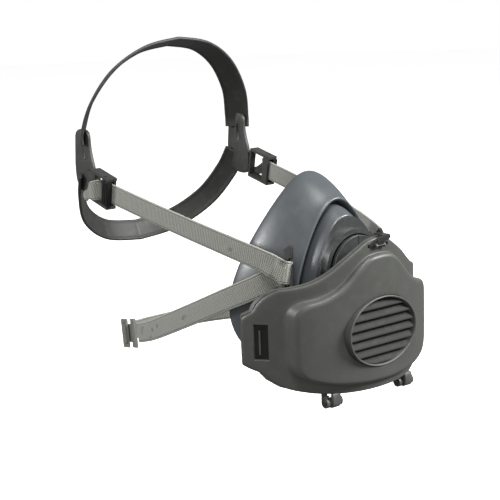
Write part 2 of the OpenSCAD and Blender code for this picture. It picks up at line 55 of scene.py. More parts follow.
scene = bpy.context.scene

# ---------- camera ----------

def direction(azimuth, elevation):
    a, e = math.radians(azimuth), math.radians(elevation)
    return Vector((math.sin(a) * math.cos(e), -math.cos(a) * math.cos(e), math.sin(e)))

back = direction(-36, 12.5)
right = Vector((math.cos(math.radians(-36)), math.sin(math.radians(-36)), 0))
up = back.cross(right)
roll = math.radians(2)
right, up = math.cos(roll) * right - math.sin(roll) * up, math.sin(roll) * right + math.cos(roll) * up
camera = bpy.data.objects.new("camera", bpy.data.cameras.new("camera"))
scene.collection.objects.link(camera)
turn = Matrix((right, up, back)).transposed().to_4x4()
camera.matrix_world = Matrix.Translation((-0.5077, -0.6375, 0.1954)) @ turn
camera.data.sensor_width = 36
camera.data.lens = 82.8
camera.data.clip_start = 0.05
camera.data.clip_end = 20
scene.camera = camera

# ---------- mesh helpers, in millimetres ----------

def add_mesh(name, verts, faces, smooth=True):
    mesh = bpy.data.meshes.new(name)
    mesh.from_pydata((np.asarray(verts, float) * MM).tolist(), [], faces)
    mesh.validate()
    bm = bmesh.new()
    bm.from_mesh(mesh)
    bmesh.ops.remove_doubles(bm, verts=bm.verts, dist=1e-7)
    bmesh.ops.recalc_face_normals(bm, faces=bm.faces)
    bm.to_mesh(mesh)
    bm.free()
    if smooth:
        mesh.shade_smooth()
    obj = bpy.data.objects.new(name, mesh)
    scene.collection.objects.link(obj)
    return obj

def loft(name, loops, ring=True, closed=False, caps=False, uv=None):
    """Quads between loops of equal length. uv gives (u of each loop, v of each point), in metres."""
    loops = np.asarray(loops, float)
    m, n, _ = loops.shape
    faces = []
    for j in range(m if closed else m - 1):
        for i in range(n if ring else n - 1):
            j2, i2 = (j + 1) % m, (i + 1) % n
            faces.append((j * n + i, j * n + i2, j2 * n + i2, j2 * n + i))
    if caps:
        faces.append(tuple(range(n))[::-1])
        faces.append(tuple(range((m - 1) * n, m * n)))
    obj = add_mesh(name, loops.reshape(-1, 3), faces)
    if uv is not None:
        us, vs = uv
        table = {}
        for j in range(m):
            for i in range(n):
                table[tuple(np.round(loops[j, i] * 1000).astype(int))] = (us[j], vs[i])
        layer = obj.data.uv_layers.new(name="cloth")
        keys = [tuple(np.round(np.array(v.co) / MM * 1000).astype(int)) for v in obj.data.vertices]
        for loop in obj.data.loops:
            layer.data[loop.index].uv = table.get(keys[loop.vertex_index], (0, 0))
    return obj

def applied(obj):
    depsgraph = bpy.context.evaluated_depsgraph_get()
    mesh = bpy.data.meshes.new_from_object(obj.evaluated_get(depsgraph))
    obj.modifiers.clear()
    obj.data = mesh
    return obj

def cut(obj, cutter):
    mod = obj.modifiers.new("cut", "BOOLEAN")
    mod.operation = "DIFFERENCE"
    mod.solver = "EXACT"
    mod.object = cutter
    applied(obj)
    bpy.data.objects.remove(cutter)

def smooth_by_angle(obj, degrees=35):
    obj.data.set_sharp_from_angle(angle=math.radians(degrees))

def prism(name, outline, depth0, depth1, place, bevel=0.4, segments=3):
    """Outline extruded between two depths, with rounded edges. place maps (u, v, depth) to xyz."""
    n = len(outline)
    verts = [place(u, v, depth0) for u, v in outline] + [place(u, v, depth1) for u, v in outline]
    faces = [tuple(range(n)), tuple(range(2 * n - 1, n - 1, -1))]
    faces += [(i, i + n, (i + 1) % n + n, (i + 1) % n) for i in range(n)]
    obj = add_mesh(name, verts, faces)
    if bevel:
        mod = obj.modifiers.new("edges", "BEVEL")
        mod.width = bevel * MM
        mod.segments = segments
        mod.limit_method = "ANGLE"
        mod.angle_limit = math.radians(30)
        applied(obj)
    obj.data.shade_smooth()
    smooth_by_angle(obj, 40)
    return obj

def finished(obj, body, slot, material, *replaced):
    obj.data.materials.clear()
    obj.data.materials.append(material)
    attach(obj, body)
    if replaced:
        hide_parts(*replaced)
    return obj

# ---------- outlines ----------

def spline(points, steps):
    p = [np.asarray(q, float) for q in points]
    out = []
    for i in range(len(p) - 1):
        a, b, c, d = p[max(i - 1, 0)], p[i], p[i + 1], p[min(i + 2, len(p) - 1)]
        for s in range(steps):
            t = s / steps
            out.append(0.5 * (2 * b + (c - a) * t + (2 * a - 5 * b + 4 * c - d) * t * t
                              + (3 * b - 3 * c + d - a) * t ** 3))
    return np.array(out + [p[-1]])

def both_sides(half):
    half = [tuple(q) for q in half]
    return np.array(half + [(-x, z) for x, z in reversed(half) if x > 0.01])

def rounded(outline, times=2):
    p = np.asarray(outline, float)
    for _ in range(times):
        q = np.roll(p, -1, axis=0)
        p = np.stack([0.75 * p + 0.25 * q, 0.25 * p + 0.75 * q], axis=1).reshape(-1, 2)
    return p

ROUND = 360
theta = np.linspace(0, 2 * math.pi, ROUND, endpoint=False)
rays = np.stack([np.cos(theta), np.sin(theta)], axis=1)
BOX_Z = -28

def radii(outline, centre=BOX_Z):
    p = np.asarray(outline, float) - (0, centre)
    q = np.roll(p, -1, axis=0)
    e = q - p
    den = rays[:, None, 0] * e[None, :, 1] - rays[:, None, 1] * e[None, :, 0]
    den = np.where(abs(den) < 1e-12, 1e-12, den)
    t = (p[None, :, 0] * e[None, :, 1] - p[None, :, 1] * e[None, :, 0]) / den
    s = (p[None, :, 0] * rays[:, None, 1] - p[None, :, 1] * rays[:, None, 0]) / den
    return np.where((t > 0) & (s >= -1e-9) & (s <= 1 + 1e-9), t, 0).max(axis=1)

def offset(outline, d):
    """The outline moved inwards by d."""
    p = np.asarray(outline, float)
    tangent = np.roll(p, -1, axis=0) - np.roll(p, 1, axis=0)
    tangent /= np.maximum(np.linalg.norm(tangent, axis=1, keepdims=True), 1e-9)
    normal = np.stack([tangent[:, 1], -tangent[:, 0]], axis=1)
    area = (p[:, 0] * np.roll(p[:, 1], -1) - np.roll(p[:, 0], -1) * p[:, 1]).sum()
    return p - normal * d * (1 if area > 0 else -1)

def ellipse(a, b, centre=0, n=180):
    t = np.linspace(0, 2 * math.pi, n, endpoint=False)
    return np.stack([a * np.cos(t), centre + b * np.sin(t)], axis=1)

# ---------- sizes of the filter box, the same as in the CAD model ----------

wall = 2.0
FLANGE_R, FLANGE_YC, BEND = 76, -8, math.radians(50)
FRONT_R, FRONT_YC = 95, 6.5
FLANGE_TOP, FLANGE_BOTTOM = 35.8, -69
HINGE_Y, HINGE_Z, HINGE_X, TONGUE_HALF = -72.5, -74.5, 33, 3.3
GRILLE_A, GRILLE_B, GRILLE_FRONT = 31.2, 25.3, -89.2

def flange_y(x, r):
    x = abs(np.asarray(x, float))
    edge = r * math.sin(BEND)
    arc = FLANGE_YC - np.sqrt(np.maximum(r * r - x * x, 0))
    return np.where(x < edge, arc, FLANGE_YC - r * math.cos(BEND) + (x - edge) * math.tan(BEND))

def front_y(x, r):
    return FRONT_YC - np.sqrt(np.maximum(r * r - np.asarray(x, float) ** 2, 1))

flange_outline = rounded(both_sides(list(spline([
    (0, FLANGE_TOP), (8, FLANGE_TOP - 1.6), (16, FLANGE_TOP - 6.5), (26, 22.2), (35, 15), (44.8, 9),
    (54, 5.8), (61, 4)], 4)) + [
    (66.3, 0), (70.3, -6), (71.8, -10.9), (76.5, -14.6), (77.6, -18.5), (77.6, -45),
    (76.9, -48.6), (72.8, -52), (68.3, -54.5), (65.3, -59.4), (60, -63.8), (50.4, -66.6),
    (36.2, FLANGE_BOTTOM + 0.6), (18, FLANGE_BOTTOM), (0, FLANGE_BOTTOM)]), 2)

raised_outline = rounded(both_sides(list(spline([
    (0, 25), (8, 24.2), (13, 22), (19, 17), (26, 9.5), (34, 3), (43, -1.4), (51, -3.6)], 3)) + [
    (55.5, -6), (58, -9.5), (59, -14), (59, -44), (58, -50), (55, -54.5), (50, -57.6), (36, -61),
    (19, -62.5), (0, -63)]), 2)

def ring(radius, depth):
    """One loop of the box at the given radii from the grille's centre; depth gives y from x."""
    x = radius * rays[:, 0]
    return np.stack([x, depth(x), BOX_Z + radius * rays[:, 1]], axis=1)

# ---------- materials ----------

def nodes_of(name):
    m = bpy.data.materials.new(name)
    m.use_nodes = True
    tree = m.node_tree
    return m, tree, tree.nodes["Principled BSDF"]

def value(tree, kind, *inputs, **props):
    node = tree.nodes.new(kind)
    for key, v in props.items():
        setattr(node, key, v)
    for k, v in enumerate(inputs):
        if v is None:
            continue
        if isinstance(v, bpy.types.NodeSocket):
            tree.links.new(v, node.inputs[k])
        else:
            node.inputs[k].default_value = v
    return node

def math_node(tree, operation, *inputs):
    return value(tree, "ShaderNodeMath", *inputs, operation=operation).outputs[0]

def noise(tree, coords, scale, detail=3.0, roughness=0.55):
    node = tree.nodes.new("ShaderNodeTexNoise")
    tree.links.new(coords, node.inputs["Vector"])
    node.inputs["Scale"].default_value = scale
    node.inputs["Detail"].default_value = detail
    node.inputs["Roughness"].default_value = roughness
    return node.outputs["Fac"]

def span(tree, fac, low, high, from_low=0.3, from_high=0.7):
    node = value(tree, "ShaderNodeMapRange", fac, from_low, from_high, low, high)
    node.clamp = True
    return node.outputs[0]

def mixed(tree, fac, a, b, blend_type="MIX"):
    node = tree.nodes.new("ShaderNodeMix")
    node.data_type = "RGBA"
    node.blend_type = blend_type
    for socket, v in ((node.inputs[0], fac), (node.inputs[6], a), (node.inputs[7], b)):
        if isinstance(v, bpy.types.NodeSocket):
            tree.links.new(v, socket)
        else:
            socket.default_value = v
    return node.outputs[2]

def colour(rgb, gain=1.0):
    return tuple(min(c * gain, 1) for c in rgb) + (1,)

def bump(tree, height, distance, strength=1.0, normal=None):
    node = tree.nodes.new("ShaderNodeBump")
    node.inputs["Strength"].default_value = strength
    node.inputs["Distance"].default_value = distance
    tree.links.new(height, node.inputs["Height"])
    if normal is not None:
        tree.links.new(normal, node.inputs["Normal"])
    return node.outputs["Normal"]

def moulded(name, rgb, rough, grain=1500.0, grain_depth=0.00004, wear=0.35, mottling=0.1, dust=0.12,
            specular=0.5, coat=0.0):
    """Moulded plastic or rubber: fine surface grain, slow colour drift, settled dust and paler worn edges."""
    m, tree, shader = nodes_of(name)
    coords = tree.nodes.new("ShaderNodeTexCoord").outputs["Object"]
    slow = noise(tree, coords, 28, 2)
    patches = noise(tree, coords, 160, 4, 0.65)
    fine = noise(tree, coords, grain, 2)
    base = mixed(tree, span(tree, slow, 0, 1), colour(rgb, 1 - mottling), colour(rgb, 1 + mottling))
    base = mixed(tree, span(tree, patches, 0, dust, 0.5, 0.75), base, colour((0.42, 0.41, 0.38)))
    geometry = tree.nodes.new("ShaderNodeNewGeometry")
    edge = span(tree, geometry.outputs["Pointiness"], 0, wear, 0.52, 0.6)
    edge = math_node(tree, "MULTIPLY", edge, span(tree, patches, 0.45, 1, 0.35, 0.6))
    base = mixed(tree, edge, base, colour(rgb, 2.6))
    tree.links.new(base, shader.inputs["Base Color"])
    tree.links.new(span(tree, patches, rough - 0.06, rough + 0.08), shader.inputs["Roughness"])
    shader.inputs["Specular IOR Level"].default_value = specular
    if coat:
        shader.inputs["Coat Weight"].default_value = coat
        shader.inputs["Coat Roughness"].default_value = 0.25
    n = bump(tree, fine, grain_depth, 0.7)
    n = bump(tree, slow, 0.0006, 0.12, n)
    tree.links.new(n, shader.inputs["Normal"])
    return m

box_plastic = moulded("box_plastic", (0.061, 0.063, 0.057), 0.46, 1900, 0.00003, 0.15, 0.06, 0.02)
body_plastic = moulded("body_plastic", (0.034, 0.037, 0.037), 0.36, 1200, 0.00002, 0.2, 0.1, 0.03)
rubber = moulded("rubber", (0.062, 0.070, 0.076), 0.36, 900, 0.00001, 0.2, 0.1, 0.0, 0.65)
dark_plastic = moulded("dark_plastic", (0.006, 0.006, 0.0058), 0.46, 1400, 0.00003, 0.1, 0.1, 0.01, 0.35)
cradle_plastic = moulded("cradle_plastic", (0.023, 0.024, 0.022), 0.52, 1500, 0.00004, 0.08, 0.1, 0.04)
# The box plastic painted about 2.5 times darker: painted shade for the recessed grille slats. The thumb
# clip's tongue, barrel and stem reuse it as their dark grey.
shaded_slat_plastic = moulded("shaded_slat_plastic", (0.024, 0.025, 0.023), 0.6, 1900, 0.00003, 0.1, 0.06, 0.02, 0.15)
clasp_plastic = moulded("clasp_plastic", (0.15, 0.15, 0.132), 0.45, 1500, 0.00003, 0.1, 0.1, 0.04)

def steel_material():
    m, tree, shader = nodes_of("steel")
    coords = tree.nodes.new("ShaderNodeTexCoord").outputs["Object"]
    stretched = value(tree, "ShaderNodeVectorMath", coords, (60, 2400, 2400), operation="MULTIPLY")
    lines = noise(tree, stretched.outputs[0], 1.0, 2)
    base = mixed(tree, span(tree, lines, 0, 1), colour((0.05, 0.05, 0.05)), colour((0.11, 0.11, 0.105)))
    tree.links.new(base, shader.inputs["Base Color"])
    shader.inputs["Metallic"].default_value = 1.0
    tree.links.new(span(tree, lines, 0.42, 0.55), shader.inputs["Roughness"])
    tree.links.new(bump(tree, lines, 0.00002, 0.5), shader.inputs["Normal"])
    return m

def silicone_material():
    m, tree, shader = nodes_of("valve_rubber")
    coords = tree.nodes.new("ShaderNodeTexCoord").outputs["Object"]
    soft = noise(tree, coords, 220, 3)
    base = mixed(tree, span(tree, soft, 0, 1), colour((0.6, 0.58, 0.52)), colour((0.74, 0.72, 0.66)))
    tree.links.new(base, shader.inputs["Base Color"])
    shader.inputs["Subsurface Weight"].default_value = 0.25
    shader.inputs["Subsurface Scale"].default_value = 0.001
    tree.links.new(span(tree, soft, 0.3, 0.42), shader.inputs["Roughness"])
    tree.links.new(bump(tree, noise(tree, coords, 1400, 2), 0.00001, 0.6), shader.inputs["Normal"])
    return m

def felt_material():
    m, tree, shader = nodes_of("felt")
    coords = tree.nodes.new("ShaderNodeTexCoord").outputs["Object"]
    bent = value(tree, "ShaderNodeVectorMath", coords, (500, 500, 1700), operation="MULTIPLY").outputs[0]
    cross = value(tree, "ShaderNodeVectorMath", coords, (1700, 500, 500), operation="MULTIPLY").outputs[0]
    fibres = math_node(tree, "MAXIMUM", noise(tree, bent, 1.0, 4, 0.7), noise(tree, cross, 1.0, 4, 0.7))
    clumps = noise(tree, coords, 260, 3)
    shadow, lit = colour((0.30, 0.30, 0.275)), colour((0.50, 0.50, 0.47))
    base = mixed(tree, span(tree, fibres, 0, 1, 0.45, 0.7), shadow, lit)
    base = mixed(tree, span(tree, clumps, 0, 0.18), base, colour((0.33, 0.325, 0.29)))
    tree.links.new(base, shader.inputs["Base Color"])
    shader.inputs["Roughness"].default_value = 0.95
    shader.inputs["Sheen Weight"].default_value = 0.4
    shader.inputs["Specular IOR Level"].default_value = 0.1
    n = bump(tree, fibres, 0.00025, 0.9)
    tree.links.new(bump(tree, clumps, 0.0008, 0.4, n), shader.inputs["Normal"])
    return m

HALF_COLUMN, ROW, CORD_ROW, SELVAGE = 0.00078, 0.0016, 0.0008, 0.0066

def knit_material():
    """Knitted elastic: columns of small V stitches along the strap, with smooth selvages, and painted shade
    in the valleys between stitches, between the selvage cords and in the selvage grooves. UVs are metres.
    """
    m, tree, shader = nodes_of("strap_knit")
    uv = tree.nodes.new("ShaderNodeUVMap")
    uv.uv_map = "cloth"
    parts = value(tree, "ShaderNodeSeparateXYZ", uv.outputs[0])
    along, across = parts.outputs[0], parts.outputs[1]
    coords = tree.nodes.new("ShaderNodeTexCoord").outputs["Object"]
    shift = math_node(tree, "MULTIPLY", math_node(tree, "SUBTRACT", noise(tree, coords, 600, 2), 0.5), 0.0006)
    wave = math_node(tree, "PINGPONG", math_node(tree, "ADD", across, 1.0), HALF_COLUMN)
    slant = math_node(tree, "MULTIPLY", wave, 0.95)
    stitch = math_node(tree, "ADD", math_node(tree, "ADD", along, shift), slant)
    rows = math_node(tree, "SINE", math_node(tree, "MULTIPLY", stitch, 2 * math.pi / ROW))
    rows = math_node(tree, "MULTIPLY_ADD", rows, 0.5, 0.5)
    column = math_node(tree, "DIVIDE", wave, HALF_COLUMN)
    column = math_node(tree, "MULTIPLY", column, math_node(tree, "SUBTRACT", 1.0, column))
    column = math_node(tree, "POWER", math_node(tree, "MULTIPLY", column, 4.0), 0.5)
    height = math_node(tree, "MULTIPLY", math_node(tree, "MULTIPLY_ADD", rows, 0.75, 0.25), column)
    side = math_node(tree, "ABSOLUTE", across)
    selvage = span(tree, side, 0, 1, SELVAGE, SELVAGE + 0.0004)
    groove = math_node(tree, "SUBTRACT", 1.0, span(tree, math_node(tree, "ABSOLUTE", math_node(
        tree, "SUBTRACT", side, SELVAGE)), 0, 1, 0.0001, 0.0004))
    cord_rows = math_node(tree, "MULTIPLY_ADD", math_node(tree, "SINE", math_node(
        tree, "MULTIPLY", math_node(tree, "ADD", along, shift), 2 * math.pi / CORD_ROW)), 0.25, 0.6)
    height = mixed(tree, selvage, height, cord_rows)
    height = mixed(tree, groove, height, (0, 0, 0, 1))
    fluff = noise(tree, coords, 2600, 3, 0.7)
    drift = noise(tree, coords, 45, 3)
    # Colour follows the stitch height. low is painted shade in the stitch valleys, between the selvage cords
    # and in the selvage grooves. high is the yarn on the crests.
    low, high = colour((0.07, 0.075, 0.062)), colour((0.40, 0.405, 0.36))
    base = mixed(tree, height, low, high)
    base = mixed(tree, span(tree, drift, 0, 0.22), base, colour((0.27, 0.265, 0.23)))
    base = mixed(tree, span(tree, fluff, 0, 0.25, 0.5, 0.75), base, colour((0.52, 0.52, 0.475)))
    tree.links.new(base, shader.inputs["Base Color"])
    shader.inputs["Roughness"].default_value = 0.85
    shader.inputs["Sheen Weight"].default_value = 0.35
    shader.inputs["Specular IOR Level"].default_value = 0.2
    n = bump(tree, height, 0.00045, 1.0)
    tree.links.new(bump(tree, fluff, 0.00008, 0.5, n), shader.inputs["Normal"])
    return m

steel = steel_material()
valve_rubber = silicone_material()
felt = felt_material()
knit = knit_material()

# ---------- filter box cover ----------

def quarter(steps):
    return [math.pi / 2 * k / steps for k in range(steps + 1)]

def flange_rings(base_r, thick, edge, inner):
    """Loops over a flange: from the inner radii out over the front, round the edge and back in behind."""
    loops = [ring(inner + (radii(offset(flange_outline, edge)) - inner) * f, lambda x: flange_y(x, base_r))
             for f in (0.25, 0.5, 0.75)]
    for phi in quarter(4):
        rad = radii(offset(flange_outline, edge * (1 - math.sin(phi))))
        loops.append(ring(rad, lambda x, d=edge * (1 - math.cos(phi)): flange_y(x, base_r - d)))
    rad = radii(flange_outline)
    loops.append(ring(rad, lambda x: flange_y(x, base_r - thick + 0.4)))
    loops.append(ring(radii(offset(flange_outline, 0.4)), lambda x: flange_y(x, base_r - thick)))
    return loops

oval = radii(ellipse(GRILLE_A - 0.8, GRILLE_B - 0.8, BOX_Z))
EDGE_R = 2.9
loops = [ring(oval, lambda x: front_y(x, FRONT_R - wall)),
         ring(oval, lambda x: front_y(x, FRONT_R - 0.4)),
         ring(oval + 0.15, lambda x: front_y(x, FRONT_R - 0.1)),
         ring(oval + 0.5, lambda x: front_y(x, FRONT_R))]
panel_edge = radii(offset(raised_outline, EDGE_R))
for f in np.linspace(0, 1, 12)[1:-1]:
    loops.append(ring(oval + 0.5 + (panel_edge - oval - 0.5) * f, lambda x: front_y(x, FRONT_R)))

def step(x):
    return flange_y(x, FLANGE_R) - front_y(x, FRONT_R)

for phi in quarter(8):
    rad = radii(offset(raised_outline, EDGE_R * (1 - math.sin(phi))))
    drop = 1 - math.cos(phi)
    loops.append(ring(rad, lambda x, c=drop: front_y(x, FRONT_R) + c * np.minimum(EDGE_R, 0.8 * step(x))))
for out, lift in ((0, 1.2), (-0.15, 0.6), (-0.5, 0.2), (-1.1, 0)):
    rad = radii(offset(raised_outline, out))
    loops.append(ring(rad, lambda x, k=lift: flange_y(x, FLANGE_R) - k * np.minimum(1, 0.12 * step(x))))
loops += flange_rings(FLANGE_R, wall, 1.1, radii(offset(raised_outline, -1.1)))
for inset in (wall + 1, wall):
    loops.append(ring(radii(offset(raised_outline, inset)), lambda x: flange_y(x, FLANGE_R - wall)))
inner_edge = radii(offset(raised_outline, wall + 0.2))
loops.append(ring(inner_edge, lambda x: front_y(x, FRONT_R - wall)))
for f in (0.33, 0.66):
    loops.append(ring(inner_edge + (oval - inner_edge) * f, lambda x: front_y(x, FRONT_R - wall)))
cover = loft("cover_shell", loops, closed=True)

def on_wing(side, r, u, v, z):
    """A point u along the wing, v out of its front, at height z."""
    x = r * math.sin(BEND) + u * math.cos(BEND) + v * math.sin(BEND)
    y = FLANGE_YC - r * math.cos(BEND) + u * math.sin(BEND) - v * math.cos(BEND)
    return (side * x, y, z)

def tapered(name, sizes, place):
    """Box-like cutter through rectangles (u0, u1, v0, v1, depth)."""
    loops = [[place(u0, v0, d), place(u1, v0, d), place(u1, v1, d), place(u0, v1, d)]
             for u0, u1, v0, v1, d in sizes]
    return loft(name, loops, caps=True)

for s in (-1, 1):
    cut(cover, tapered("slot", [(11.6, 23.6, -45.5, -18.8, 1), (12.8, 22.4, -44.3, -20, -0.8),
                                (12.8, 22.4, -44.3, -20, -6)],
                       lambda u, z, v, s=s: on_wing(s, FLANGE_R, u, v, z)))
    cut(cover, tapered("slot", [(s * 6.4 - 3.2, s * 6.4 + 3.2, 28.8, 32.0, -85.6),
                                (s * 6.4 - 2.6, s * 6.4 + 2.6, 29.3, 31.5, -83.3),
                                (s * 6.4 - 2.6, s * 6.4 + 2.6, 29.3, 31.5, -76)],
                       lambda x, z, y: (x, y, z)))
    # A thin black sheet about 2 mm behind the front of each wing slot: painted shade standing in for the
    # unlit space behind the slot.
    shade_sheet = [on_wing(s, FLANGE_R, u, v, z) for v in (-1.9, -2.15) for u, z in
              ((12.9, -44.2), (22.3, -44.2), (22.3, -20.1), (12.9, -20.1))]
    part = add_mesh("slot_shade_sheet_" + ("left" if s > 0 else "right"), shade_sheet, [
        (0, 1, 2, 3), (7, 6, 5, 4), (0, 4, 5, 1), (1, 5, 6, 2), (2, 6, 7, 3), (3, 7, 4, 0)], smooth=False)
    finished(part, "mask", "dark_plastic", dark_plastic)
cover.data.shade_smooth()
smooth_by_angle(cover, 38)
finished(cover, "cover", "box_plastic", box_plastic, "front_cover")

# Hinge tongues of the cover
def arc(cx, cz, r, a0, a1, n=10):
    return [(cx + r * math.cos(math.radians(a0 + (a1 - a0) * k / n)),
             cz + r * math.sin(math.radians(a0 + (a1 - a0) * k / n))) for k in range(n + 1)]

tongue = arc(HINGE_Y, HINGE_Z, 3.4, 40, -90, 12) + arc(HINGE_Y - 2.2, HINGE_Z, 3.4, -90, -180, 8) + [
    (HINGE_Y - 5.6, -69.6), (HINGE_Y - 4.6, -67.4), (HINGE_Y - 2.4, -67.2), (HINGE_Y - 2.4, -69.8)]
for s, word in ((-1, "right"), (1, "left")):
    x = s * HINGE_X
    part = prism("cover_tongue_" + word, tongue, x - TONGUE_HALF, x + TONGUE_HALF,
                 lambda u, v, d: (d, u, v), 0.5)
    finished(part, "cover", "box_plastic", box_plastic, "front_cover")
    ear = prism("clip_ear_" + word, arc(-85.6, 30.4, 1.5, 0, 360, 16)[:-1], s * 3.5 - 0.7, s * 3.5 + 0.7,
                lambda u, v, d: (d, u, v), 0.15, 2)
    finished(ear, "cover", "box_plastic", box_plastic, "front_cover")

# ---------- grille ----------

PAD_R = 89.6
behind = lambda x: front_y(x, PAD_R + 0.35)
profile = [(3.0, None), (3.0, 2.6), (2.55, 2.2), (2.5, 0.9), (2.35, 0.35), (2.0, 0.06), (1.6, 0), (1.25, 0.2),
           (1.05, 0.8), (1.0, 1.8), (1.0, None)]
loops = []
for inset, depth in profile:
    rad = radii(ellipse(GRILLE_A - inset, GRILLE_B - inset, BOX_Z))
    if depth is None:
        loops.append(ring(rad, behind))
    else:
        loops.append(ring(rad, lambda x, y=GRILLE_FRONT + depth: np.full_like(x, y)))
grille_ring = loft("grille_ring", loops, closed=True)
smooth_by_angle(grille_ring, 50)
finished(grille_ring, "cover", "box_plastic", box_plastic, "grille")

SLATS, PITCH, TILT, CHORD = 7, 6.4, math.radians(50), 3.6
SLAT_Y = -85.8
half = []
for t in np.linspace(0, 2 * math.pi, 22, endpoint=False):
    u = CHORD * math.copysign(abs(math.cos(t)) ** 0.8, math.cos(t))
    v = 0.55 * math.copysign(abs(math.sin(t)) ** 0.8, math.sin(t)) + 0.25 * (1 - (u / CHORD) ** 2) - 0.1
    half.append((u, v))
for k in range(SLATS):
    zc = BOX_Z + (k - (SLATS - 1) / 2) * PITCH
    loops = []
    for f in np.linspace(-1, 1, 19):
        section = []
        for u, v in half:
            y = SLAT_Y + u * math.cos(TILT) - v * math.sin(TILT)
            z = zc + u * math.sin(TILT) + v * math.cos(TILT)
            z = min(max(z, BOX_Z - GRILLE_B + 3.2), BOX_Z + GRILLE_B - 3.2)
            reach = (GRILLE_A - 3.05) * math.sqrt(max(1 - ((z - BOX_Z) / (GRILLE_B - 3.0)) ** 2, 0))
            x = f * reach
            section.append((x, min(y, float(front_y(x, PAD_R + 0.35))), z))
        loops.append(section)
    slat = loft("grille_slat_%d" % (k + 1), loops, caps=True)
    smooth_by_angle(slat, 60)
    # The slats are the cover's plastic with painted shade: a darker copy of box_plastic.
    finished(slat, "cover", "box_plastic", shaded_slat_plastic, "grille")

# ---------- thumb clip ----------

clip_y, clip_z = -85.9, 30.4
blade = rounded([
    (-8.4, 29.9), (-7.4, 28.9), (-6, 29.2), (-3, 31.2), (0.6, 32.6), (4.2, 33.2), (7.2, 34), (8.2, 35.6),
    (7.6, 37.2), (5.4, 38), (2, 37.4), (-1.6, 35.9), (-5, 33.6), (-7.6, 31.4)], 2)
tongue_part = prism("clip_tongue", blade, -0.8, 0.8,
                    lambda u, v, d: (u, clip_y - 0.9 + d + 0.028 * (4 - u) * abs(4 - u) * (u < 4), v), 0.5)
finished(tongue_part, "clip", "dark_plastic", shaded_slat_plastic, "top_clip")
lip_outline = [(clip_y - 0.6, 37.9), (clip_y - 0.8, 36.6), (clip_y + 6.8, 36.6), (clip_y + 7.4, 37.2),
               (clip_y + 6.8, 37.9)]
lip = prism("clip_lip", lip_outline, 0.5, 5.5, lambda u, v, d: (d, u, v), 0.3)
finished(lip, "clip", "dark_plastic", dark_plastic, "top_clip")
barrel = prism("clip_barrel", arc(clip_y + 0.5, clip_z, 1.2, 0, 360, 20)[:-1], -2.5, 2.5,
               lambda u, v, d: (d, u, v), 0.2, 2)
finished(barrel, "clip", "dark_plastic", shaded_slat_plastic, "top_clip")
stem = prism("clip_stem", [(-2.3, 30), (2.3, 30), (2.5, 34.6), (-2.5, 34.6)], clip_y - 0.7, clip_y,
             lambda u, v, d: (u, d, v), 0.3, 2)
finished(stem, "clip", "dark_plastic", shaded_slat_plastic, "top_clip")

# ---------- filter pad ----------

loops = []
for inset, depth in ((40, 0), (24, 0), (12, 0), (8.4, 0.1), (6.6, 0.5), (5.5, 1.4), (5.05, 2.6), (5.05, 3.4),
                     (5.5, 4.6), (6.6, 5.5), (8.4, 5.9), (12, 6), (24, 6), (40, 6)):
    rad = radii(offset(raised_outline, min(inset, 12))) * (1 if inset <= 12 else 1 - (inset - 12) / 44)
    ripple = 0.12 * np.sin(theta * 23) + 0.08 * np.sin(theta * 41 + 1)
    loops.append(ring(rad + (ripple if 5 < inset < 9 else 0), lambda x, d=depth: front_y(x, PAD_R - d)))
pad = loft("filter_felt", loops, caps=True)
finished(pad, "mask", "felt", felt, "filter_pad")

# ---------- rubber facepiece ----------

SEAL_W, SEAL_H, RIM_W, RIM_H, PLATE_W, PLATE_H = 54, 73, 38, 61.5, 31, 50
RIM_Y, GROOVE_Y, NECK_Y = -42.5, -34, -52
